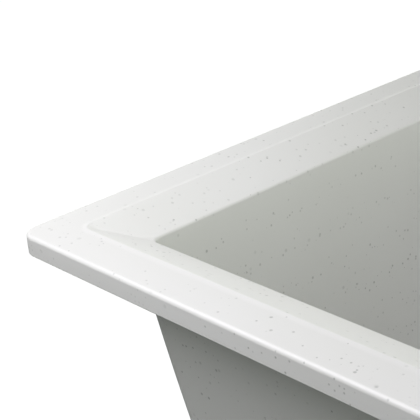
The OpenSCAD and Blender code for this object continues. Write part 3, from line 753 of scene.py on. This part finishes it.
def cup_wall_holes():
    """Places of the wall's holes, whose rows are set off by half a hole's spacing."""
    height = CUP_TOP - CUP_FLOOR
    lean = math.atan2(CUP_TOP_R - CUP_FLOOR_R, height)
    places = []
    for row in range(CUP_WALL_ROWS):
        share = (row + 1) / CUP_ROW_GAPS
        radius = CUP_FLOOR_R + (CUP_TOP_R - CUP_FLOOR_R) * share
        out = Matrix.Translation((radius, 0, CUP_FLOOR + height * share))
        for i in range(CUP_WALL_HOLES):
            spot = about(DRAIN, (i + row / 2) * 360 / CUP_WALL_HOLES) @ out
            places.append(spot @ Matrix.Rotation(math.pi / 2 + lean, 4, "Y"))
    return places


def basket_cup():
    profile = [
        (0, CUP_FLOOR), (CUP_FLOOR_R, CUP_FLOOR), (CUP_TOP_R, CUP_TOP), (CUP_TOP_R - CUP_T, CUP_TOP),
        (CUP_FLOOR_R - CUP_T, CUP_FLOOR + CUP_T), (0, CUP_FLOOR + CUP_T),
    ]
    obj = turned_object("pressed_basket_cup", softened(profile, CUP_FOLD_R, steps=5), DRAIN)
    lip_r = CUP_TOP_R - CUP_T / 2
    lip = [(lip_r + CUP_LIP_R * math.cos(t), CUP_TOP + CUP_LIP_R * math.sin(t))
           for t in (math.radians(30 * i) for i in range(12))]
    combine(obj, turned_object("rolled_lip", lip, DRAIN, closed=True), "UNION")
    low = CUP_FLOOR - MM
    high = CUP_FLOOR + 2 * MM
    floor_holes = [place for r in CUP_FLOOR_RINGS for place in around(DRAIN, r - 2, r * MM)]
    drill(obj, floor_holes, CUP_FLOOR_HOLE_R, low, high, 16)
    drill(obj, [DRAIN], CUP_POST_HOLE_R, low, high)
    drill(obj, cup_wall_holes(), CUP_WALL_HOLE_R, -2 * MM, 2 * MM, 20)
    obj.data.shade_smooth()
    finished(obj, "basket", "stainless", "stainless", "basket_cup")


basket_cup()

# Its post: a foot and neck under the cup's floor, a collar on it, a stem and a knob
post_low, post_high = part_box("basket_post")
POST_FOOT_R = 4.5 * MM
POST_FOOT_H = 1.45 * MM
POST_NECK_R = 2.5 * MM
POST_COLLAR_R = 5.5 * MM
KNOB_R = 9 * MM
KNOB_H = 4.4 * MM


def basket_post():
    low = post_low[2]
    neck = low + POST_FOOT_H
    floor = CUP_FLOOR + CUP_T + 0.05 * MM
    knob = post_high[2] - KNOB_H
    profile = [
        (0, low), (POST_FOOT_R, low), (POST_FOOT_R, neck), (POST_NECK_R, neck), (POST_NECK_R, floor),
        (POST_COLLAR_R, floor), (POST_COLLAR_R, floor + 1.8 * MM), (3.4 * MM, floor + 3 * MM),
        (3.1 * MM, knob - 3 * MM), (7.6 * MM, knob - 0.2 * MM), (KNOB_R, knob + 1.2 * MM),
        (8.6 * MM, knob + 2.8 * MM), (5.5 * MM, knob + 4.2 * MM), (0, knob + 4.35 * MM),
    ]
    obj = turned_object("turned_basket_post", softened(profile, 1.2 * MM, steps=5), DRAIN, 64)
    finished(obj, "basket", "stainless", "stainless", "basket_post")


basket_post()

# Its stopper, hollow from below, which seals the dish when the basket is pressed down
stopper_low, stopper_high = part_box("basket_stopper")
STOPPER_R = 27 * MM
STOPPER_SOCKET_R = 10 * MM
STOPPER_BORE_R = 2.6 * MM
STOPPER_ROOF_T = 2 * MM


def basket_stopper():
    low = stopper_low[2]
    high = stopper_high[2]
    roof = high - STOPPER_ROOF_T
    profile = [
        (STOPPER_SOCKET_R, low + 0.6 * MM), (STOPPER_SOCKET_R + 0.6 * MM, low),
        (STOPPER_R - 1.5 * MM, low), (STOPPER_R, low + 1.5 * MM), (STOPPER_R - MM, low + 3 * MM),
        (STOPPER_R - 6 * MM, high), (STOPPER_BORE_R, high), (STOPPER_BORE_R, roof),
        (STOPPER_SOCKET_R, roof),
    ]
    obj = turned_object("moulded_stopper", softened(profile, 0.8 * MM, True, 4), DRAIN, 72, True)
    finished(obj, "basket", "rubber", "black_rubber", "basket_stopper")


basket_stopper()

# Waste body with its threaded outlet and overflow port
waste_low, waste_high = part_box("waste_body")
WASTE_TOP = waste_high[2]
OUTLET_END = waste_low[2]
WASTE_R = DISH_R + 3 * MM
WASTE_T = 3 * MM
WASTE_FLANGE_R = DISH_EDGE_R
WASTE_FLANGE_T = 4 * MM
OUTLET_R = 23.9 * MM
OUTLET_BORE_R = 19 * MM
OUTLET_PITCH = 2.309 * MM
OUTLET_THREAD_H = 1.4 * MM
OUTLET_THREAD_INSIDE_R = 21 * MM
OUTLET_STEPS = 72
FUNNEL_H = 18 * MM
NUT_R = 19 * MM
PORT_R = 15 * MM
PORT_BORE_R = 9 * MM
PORT_EDGE = 0.6 * MM
PORT_STEPS = 64
PORT_BORE_STEPS = 48
PORT_Z = WASTE_TOP - WASTE_FLANGE_T - NUT_R - 3 * MM
PORT_END = WASTE_R + WASTE_T + 11 * MM
CUP_END = PORT_Z - PORT_R - MM
OUTLET_TOP = CUP_END - FUNNEL_H

# The screw's hub in the waste body, on three spokes
HUB_TOP = DISH_UNDER - 0.3 * MM
HUB_H = 12 * MM
HUB_R = 8 * MM
HUB_BORE_R = 3.2 * MM
HUB_SPOKES = (60, 180, 300)
SPOKE_T = 3 * MM

# Place of the overflow's spigot, and the hose's way from it to the waste body's port
spigot_low, spigot_high = (Vector(v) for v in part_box("hose_washer_upper"))
SPIGOT_END = spigot_high.z + 0.05 * MM
SPIGOT_Y = (spigot_low.y + spigot_high.y) / 2
SPIGOT = Matrix.Translation((OVERFLOW_X, SPIGOT_Y, SPIGOT_END)) @ Matrix.Rotation(math.pi, 4, "X")
HOSE_HEADING = math.atan2(SPIGOT_Y - DRAIN_Y, OVERFLOW_X)
HOSE_RUN = math.hypot(SPIGOT_Y - DRAIN_Y, OVERFLOW_X)
HOSE_PLANE = DRAIN @ Matrix.Rotation(HOSE_HEADING, 4, "Z")
PORT = Matrix.Translation((0, 0, PORT_Z)) @ HOSE_PLANE @ Matrix.Rotation(math.pi / 2, 4, "Y")


def port_profile(length):
    return [(0, 0), (PORT_R, 0), (PORT_R, length - PORT_EDGE), (PORT_R - PORT_EDGE, length), (0, length)]


def waste_body():
    flange = WASTE_TOP - WASTE_FLANGE_T
    outer = WASTE_R + WASTE_T
    thread_core = OUTLET_R - 1.5 * MM
    thread_top = OUTLET_TOP - MM
    profile = [
        (0, WASTE_TOP), (WASTE_FLANGE_R, WASTE_TOP), (WASTE_FLANGE_R, flange), (outer, flange - 2 * MM),
        (outer, CUP_END), (OUTLET_R + 2.5 * MM, OUTLET_TOP), (OUTLET_R, OUTLET_TOP - 0.5 * MM),
        (thread_core, thread_top), (thread_core, OUTLET_END), (0, OUTLET_END),
    ]
    obj = turned_object("moulded_waste_body", softened(profile, 1.5 * MM, steps=4), DRAIN)
    combine(obj, turned_object("port", port_profile(PORT_END), PORT, PORT_STEPS), "UNION")
    cavity = [
        (0, WASTE_TOP + MM), (WASTE_R, WASTE_TOP + MM), (WASTE_R, CUP_END), (OUTLET_BORE_R, OUTLET_TOP),
        (OUTLET_BORE_R, OUTLET_END - MM), (0, OUTLET_END - MM),
    ]
    cut(obj, cavity, [DRAIN])
    drill(obj, [PORT], PORT_BORE_R, 30 * MM, PORT_END + MM, PORT_BORE_STEPS)
    combine(obj, waste_hub(), "UNION")
    bm = bmesh.new()
    bm.from_mesh(obj.data)
    thread_surface(bm, DRAIN, OUTLET_END, thread_top, OUTLET_R, OUTLET_THREAD_H, OUTLET_PITCH,
                   OUTLET_THREAD_INSIDE_R, OUTLET_STEPS)
    bmesh.ops.recalc_face_normals(bm, faces=bm.faces)
    bm.to_mesh(obj.data)
    bm.free()
    obj.data.shade_smooth()
    obj.data.set_sharp_from_angle(angle=math.radians(55))
    finished(obj, "sink", "white", "white_plastic", "waste_body")


def waste_hub():
    low = HUB_TOP - HUB_H
    profile = [(HUB_BORE_R, low), (HUB_R, low), (HUB_R, HUB_TOP), (HUB_BORE_R, HUB_TOP)]
    bm = bmesh.new()
    turned(bm, softened(profile, 0.4 * MM, True), DRAIN, 48, True)
    for degrees in HUB_SPOKES:
        turn = about(DRAIN, degrees + math.degrees(HOSE_HEADING))
        bar(bm, turn, HUB_R - 2 * MM, WASTE_R + MM, SPOKE_T / 2, low, HUB_TOP - 2 * MM)
    return new_object("hub", bm)


waste_body()

# Overflow: an elbow behind the bowl's wall, and a rose on the wall's inside
GASKET_T = 3 * MM
ELBOW_R = 18 * MM
ELBOW_FLANGE_R = 26 * MM
ELBOW_FLANGE_T = 3 * MM
ELBOW_START = WALL + GASKET_T + 0.1 * MM
ELBOW_MID = ELBOW_START + ELBOW_FLANGE_T + NUT_R + MM
ELBOW_END = ELBOW_MID + PORT_R + MM
ELBOW_HUB = 3 * MM
ELBOW_HUB_R = 4.5 * MM
ELBOW_HUB_H = 12 * MM
ELBOW_SCREW_R = 2.15 * MM
ELBOW_SPOKE_T = 2.4 * MM
ELBOW_SPOKE_H = 9 * MM


def overflow_elbow():
    collar = OVERFLOW_R - 0.6 * MM
    inner = collar - 2.4 * MM
    flange = ELBOW_START + ELBOW_FLANGE_T
    profile = [
        (0, ELBOW_HUB), (collar, ELBOW_HUB), (collar, ELBOW_START), (ELBOW_FLANGE_R, ELBOW_START),
        (ELBOW_FLANGE_R, flange), (ELBOW_R, flange), (ELBOW_R, ELBOW_END), (0, ELBOW_END),
    ]
    obj = turned_object("moulded_elbow", softened(profile, 1.2 * MM, steps=4), OVERFLOW)
    axis_z = (OVERFLOW @ Vector((0, 0, ELBOW_MID))).z
    length = axis_z - SPIGOT_END
    down = Matrix.Translation((OVERFLOW_X, SPIGOT_Y, axis_z)) @ Matrix.Rotation(math.pi, 4, "X")
    combine(obj, turned_object("spigot", port_profile(length), down, PORT_STEPS), "UNION")
    low = ELBOW_HUB - MM
    high = ELBOW_HUB + ELBOW_HUB_H
    hollow = [(ELBOW_HUB_R, low), (inner, low), (inner, high), (ELBOW_HUB_R, high)]
    combine(obj, turned_object("hollow", hollow, OVERFLOW, PORT_STEPS, True), "DIFFERENCE")
    drill(obj, [OVERFLOW], inner, high - 0.1 * MM, ELBOW_END - 2.5 * MM, PORT_STEPS)
    drill(obj, [OVERFLOW], ELBOW_SCREW_R, low, high + MM)
    drill(obj, [down], PORT_BORE_R, 0, length + MM, PORT_BORE_STEPS)
    bm = bmesh.new()
    for degrees in (0, 90):
        turn = about(OVERFLOW, degrees)
        for side in (-1, 1):
            start = side * (ELBOW_HUB_R - 0.5 * MM)
            end = side * (collar - MM)
            bar(bm, turn, start, end, ELBOW_SPOKE_T / 2, ELBOW_HUB, ELBOW_HUB + ELBOW_SPOKE_H)
    combine(obj, new_object("spokes", bm), "UNION")
    obj.data.shade_smooth()
    obj.data.set_sharp_from_angle(angle=math.radians(50))
    finished(obj, "sink", "white", "white_plastic", "overflow_elbow")


ROSE_R = 24 * MM
ROSE_H = 5 * MM
ROSE_T = 1.2 * MM
ROSE_FACE_R = 8 * MM
ROSE_HOLES = 8
ROSE_HOLE_R = 2.75 * MM
ROSE_HOLE_RING_R = 12.5 * MM
ROSE_SCREW_HOLE_R = 2.3 * MM


def overflow_rose():
    seat = -0.05 * MM
    profile = [
        (0, -ROSE_H), (ROSE_FACE_R, -ROSE_H), (ROSE_R - 6 * MM, -4.2 * MM), (ROSE_R - MM, -1.6 * MM),
        (ROSE_R, seat), (ROSE_R - 1.5 * MM, seat), (ROSE_R - 6.5 * MM, -2.9 * MM),
        (ROSE_FACE_R, ROSE_T - ROSE_H), (0, ROSE_T - ROSE_H),
    ]
    obj = turned_object("pressed_overflow_rose", softened(profile, 1.5 * MM, steps=4), OVERFLOW)
    low = -ROSE_H - 2 * MM
    drill(obj, around(OVERFLOW, ROSE_HOLES, ROSE_HOLE_RING_R), ROSE_HOLE_R, low, MM, HOLE_STEPS)
    drill(obj, [OVERFLOW], ROSE_SCREW_HOLE_R, low, MM, HOLE_STEPS)
    obj.data.shade_smooth()
    finished(obj, "sink", "stainless", "stainless", "overflow_rose")


overflow_elbow()
overflow_rose()

# Overflow hose, from the elbow's spigot down and round to the waste body's port
HOSE_R = 11 * MM
HOSE_BORE_R = 8.75 * MM
HOSE_BEND = 85 * MM
HOSE_RIBS = 64
RIB_H = 1.7 * MM
CUFF_L = 8 * MM
WASHER_T = 2 * MM
COLLAR_T = 2.2 * MM
COLLAR_R = 14 * MM
COLLAR_EDGE = 0.4 * MM
HOSE_STEPS = 28
BORE_RINGS = 60
HOSE_TOP = SPIGOT_END - WASHER_T - 0.1 * MM
HOSE_END = PORT_END + WASHER_T + 0.1 * MM
DROP_L = HOSE_TOP - (PORT_Z + HOSE_BEND)
BEND_L = HOSE_BEND * math.pi / 2
HOSE_L = DROP_L + BEND_L + HOSE_RUN - HOSE_BEND - HOSE_END

# A rib's outline, as shares of the pitch and of the rib's height
RIB = ((0.12, 0), (0.26, 0.55), (0.38, 0.92), (0.5, 1), (0.62, 0.92), (0.74, 0.55), (0.88, 0))


def hose_place(t):
    """The hose's centre, and its heading from straight down to level, at a length along it."""
    if t < DROP_L:
        return HOSE_RUN, HOSE_TOP - t, 0.0
    if t < DROP_L + BEND_L:
        angle = (t - DROP_L) / HOSE_BEND
        along = HOSE_RUN - HOSE_BEND * (1 - math.cos(angle))
        return along, PORT_Z + HOSE_BEND * (1 - math.sin(angle)), angle
    return HOSE_RUN - HOSE_BEND - (t - DROP_L - BEND_L), PORT_Z, math.pi / 2


def hose_ring(t, radius):
    along, height, angle = hose_place(t)
    ring = []
    for i in range(HOSE_STEPS):
        turn = 2 * math.pi * i / HOSE_STEPS
        side = radius * math.cos(turn)
        out = radius * math.sin(turn)
        spot = Vector((along + out * math.cos(angle), side, height - out * math.sin(angle)))
        ring.append(HOSE_PLANE @ spot)
    return ring


def overflow_hose():
    valley = HOSE_R - RIB_H
    first = COLLAR_T + CUFF_L
    pitch = (HOSE_L - 2 * first) / HOSE_RIBS
    end = [
        (0, COLLAR_R - COLLAR_EDGE), (COLLAR_EDGE, COLLAR_R), (COLLAR_T - COLLAR_EDGE, COLLAR_R),
        (COLLAR_T, COLLAR_R - COLLAR_EDGE), (COLLAR_T + 0.2 * MM, valley + 0.2 * MM),
    ]
    ribs = [(first + (k + share) * pitch, valley + height * RIB_H)
            for k in range(HOSE_RIBS) for share, height in RIB]
    other_end = [(HOSE_L - t, r) for t, r in reversed(end)]
    bore = [(HOSE_L * k / BORE_RINGS, HOSE_BORE_R) for k in range(BORE_RINGS, -1, -1)]
    bm = bmesh.new()
    skin(bm, [hose_ring(t, r) for t, r in end + ribs + other_end + bore], closed=True)
    obj = new_object("ribbed_overflow_hose", bm)
    finished(obj, "sink", "hose", "grey_hose", "overflow_hose")


overflow_hose()

# Union nuts of the hose, with rounded grips
NUT_STEPS = 144
NUT_GRIPS = 24
NUT_START = -9 * MM
NUT_LIP = WASHER_T + COLLAR_T + 0.2 * MM
NUT_END = NUT_LIP + 3 * MM
GRIP_H = 1.3 * MM
NUT_BORE_R = PORT_R + 0.2 * MM
NUT_NECK_R = HOSE_R + 0.4 * MM


def nut_ring(place, z, radius, relief):
    """A circle with a shallow dip between the grips, up to relief times a grip's height."""
    ring = []
    for i in range(NUT_STEPS):
        t = 2 * math.pi * i / NUT_STEPS
        dip = GRIP_H * relief * (0.5 - 0.5 * math.cos(NUT_GRIPS * t)) ** 2
        ring.append(place @ polar(radius - dip, t, z))
    return ring


def hose_nut(place, replaced):
    profile = [
        (NUT_START, NUT_R - 0.8 * MM, 0.3), (NUT_START + 0.3 * MM, NUT_R - 0.2 * MM, 1),
        (NUT_START + 0.8 * MM, NUT_R, 1), (NUT_LIP - 1.5 * MM, NUT_R, 1),
        (NUT_LIP, NUT_R - 0.5 * MM, 0.8), (NUT_LIP + 1.2 * MM, NUT_R - 1.6 * MM, 0.2),
        (NUT_END - 0.5 * MM, NUT_R - 2.4 * MM, 0), (NUT_END, NUT_R - 3 * MM, 0),
        (NUT_END, NUT_NECK_R + 0.5 * MM, 0), (NUT_END - 0.4 * MM, NUT_NECK_R, 0),
        (NUT_LIP, NUT_NECK_R, 0), (NUT_LIP, NUT_BORE_R, 0),
        (NUT_START + 0.5 * MM, NUT_BORE_R, 0), (NUT_START, NUT_BORE_R + 0.5 * MM, 0),
    ]
    bm = bmesh.new()
    skin(bm, [nut_ring(place, z, radius, relief) for z, radius, relief in profile], closed=True)
    obj = new_object("grip_" + replaced, bm)
    obj.data.set_sharp_from_angle(angle=math.radians(55))
    finished(obj, "sink", "white", "white_plastic", replaced)


hose_nut(SPIGOT, "hose_nut_upper")
hose_nut(PORT @ Matrix.Translation((0, 0, PORT_END)), "hose_nut_lower")

# Camera where the photograph was taken from
IMAGE_PX = 420
FOCAL_PX = 1173.0
SENSOR_MM = 36.0
CAMERA_PLACE = Vector((0.12093, -0.50661, 0.22685))
CAMERA_YAW = math.radians(-48.427)
CAMERA_PITCH = math.radians(23.607)
CAMERA_ROLL = math.radians(-4.45)


def make_camera():
    data = bpy.data.cameras.new("camera")
    data.sensor_width = SENSOR_MM
    data.lens = SENSOR_MM * FOCAL_PX / IMAGE_PX
    data.clip_start = 0.01
    data.clip_end = 50.0
    ahead = Vector((math.sin(CAMERA_YAW) * math.cos(CAMERA_PITCH),
                    math.cos(CAMERA_YAW) * math.cos(CAMERA_PITCH), -math.sin(CAMERA_PITCH)))
    right = Vector((math.cos(CAMERA_YAW), -math.sin(CAMERA_YAW), 0))
    up = right.cross(ahead)
    across = right * math.cos(CAMERA_ROLL) + up * math.sin(CAMERA_ROLL)
    upwards = up * math.cos(CAMERA_ROLL) - right * math.sin(CAMERA_ROLL)
    camera = bpy.data.objects.new("camera", data)
    turn = Matrix((across, upwards, -ahead)).transposed()
    camera.matrix_world = Matrix.Translation(CAMERA_PLACE) @ turn.to_4x4()
    bpy.context.scene.collection.objects.link(camera)
    bpy.context.scene.camera = camera


make_camera()

# Floor, lamp and soft screens
FLOOR_HALF = 8.0
FLOOR_GAP = 0.5 * MM
FLOOR_LIGHT = (0.165, 0.182, 0.165)
FLOOR_SHADE = (0.145, 0.161, 0.145)
FLOOR_GLOW = 1.0
KEY_PLACE = (-0.373, -0.474, 0.466)
KEY_TARGET = (-0.2, -0.15, 0.0)
KEY_SIZE = 0.56
KEY_POWER = 3.80
KEY_COLOUR = (1.0, 0.985, 1.015)
SKY_COLOUR = (1.0, 1.04, 0.94)

# Each screen's direction, its glow at the horizon, and its glow from SCREEN_TOP upwards
SCREEN_TOP = 0.5
SCREENS = ((-0.707, 0.707, 1.68, 0.0), (0.707, -0.707, 0.36, 0.49), (0.707, 0.707, 3.32, 0.0))


def key_lamp():
    data = bpy.data.lights.new("key", "AREA")
    data.shape = "DISK"
    data.size = KEY_SIZE
    data.energy = KEY_POWER
    data.color = KEY_COLOUR
    lamp = bpy.data.objects.new("key", data)
    lamp.location = KEY_PLACE
    aim = Vector(KEY_TARGET) - Vector(KEY_PLACE)
    lamp.rotation_euler = aim.to_track_quat("-Z", "Y").to_euler()
    bpy.context.scene.collection.objects.link(lamp)


def seen_directly(tree):
    """1 for what the camera sees, straight or through glass, and 0 for what falls on the object."""
    path = tree.nodes.new("ShaderNodeLightPath")
    return math_node(tree, "MAXIMUM", path.outputs["Is Camera Ray"], path.outputs["Is Transmission Ray"])


def studio_floor():
    """Grey paper that glows white for the camera alone, and is clear from below."""
    bm = bmesh.new()
    z = cad_box[0][2] - FLOOR_GAP
    corners = [(-FLOOR_HALF, -FLOOR_HALF), (FLOOR_HALF, -FLOOR_HALF),
               (FLOOR_HALF, FLOOR_HALF), (-FLOOR_HALF, FLOOR_HALF)]
    bm.faces.new([bm.verts.new((x, y, z)) for x, y in corners])
    floor = new_object("studio_floor", bm)
    material = bpy.data.materials.new("floor_paper")
    material.use_nodes = True
    tree = material.node_tree
    tree.nodes.clear()
    paper = tree.nodes.new("ShaderNodeBsdfDiffuse")
    colour = mix_colour(tree, noise(tree, 40.0, 5.0), FLOOR_SHADE, FLOOR_LIGHT)
    tree.links.new(colour, paper.inputs["Color"])
    glow = tree.nodes.new("ShaderNodeEmission")
    glow.inputs["Strength"].default_value = FLOOR_GLOW
    both = tree.nodes.new("ShaderNodeAddShader")
    tree.links.new(paper.outputs["BSDF"], both.inputs[0])
    tree.links.new(glow.outputs["Emission"], both.inputs[1])
    above = mix_shader(tree, seen_directly(tree), paper.outputs["BSDF"], both.outputs["Shader"])
    below = tree.nodes.new("ShaderNodeBsdfTransparent").outputs["BSDF"]
    from_below = tree.nodes.new("ShaderNodeNewGeometry").outputs["Backfacing"]
    out = tree.nodes.new("ShaderNodeOutputMaterial")
    tree.links.new(mix_shader(tree, from_below, above, below), out.inputs["Surface"])
    floor.data.materials.append(material)


def screen(tree, direction, x, y, low, high):
    """Glow of a wide soft screen that stands towards x, y."""
    across = math_node(tree, "MULTIPLY", direction.outputs["X"], x)
    along = math_node(tree, "MULTIPLY", direction.outputs["Y"], y)
    towards = math_node(tree, "ADD", across, along)
    squared = math_node(tree, "POWER", direction.outputs["Z"], 2.0)
    flat = math_node(tree, "POWER", math_node(tree, "SUBTRACT", 1.0, squared), 0.5)
    facing = remap(tree, math_node(tree, "DIVIDE", towards, flat), 0.0, 1.0)
    height = remap(tree, direction.outputs["Z"], 0.0, SCREEN_TOP, low, high)
    return math_node(tree, "MULTIPLY", math_node(tree, "POWER", facing, 2.0), height)


def surroundings():
    """White for the camera, and the screens for what lights the object."""
    world = bpy.data.worlds.new("studio")
    world.use_nodes = True
    bpy.context.scene.world = world
    tree = world.node_tree
    tree.nodes.clear()
    direction = tree.nodes.new("ShaderNodeSeparateXYZ")
    generated = tree.nodes.new("ShaderNodeTexCoord").outputs["Generated"]
    tree.links.new(generated, direction.inputs["Vector"])
    glow = 0.0
    for values in SCREENS:
        glow = math_node(tree, "ADD", glow, screen(tree, direction, *values))
    soft = tree.nodes.new("ShaderNodeBackground")
    soft.inputs["Color"].default_value = (*SKY_COLOUR, 1)
    tree.links.new(glow, soft.inputs["Strength"])
    white = tree.nodes.new("ShaderNodeBackground")
    white.inputs["Color"].default_value = (1, 1, 1, 1)
    both = mix_shader(tree, seen_directly(tree), soft.outputs["Background"], white.outputs["Background"])
    out = tree.nodes.new("ShaderNodeOutputWorld")
    tree.links.new(both, out.inputs["Surface"])


studio_floor()
surroundings()
key_lamp()

view = bpy.context.scene.view_settings
view.view_transform = "Standard"
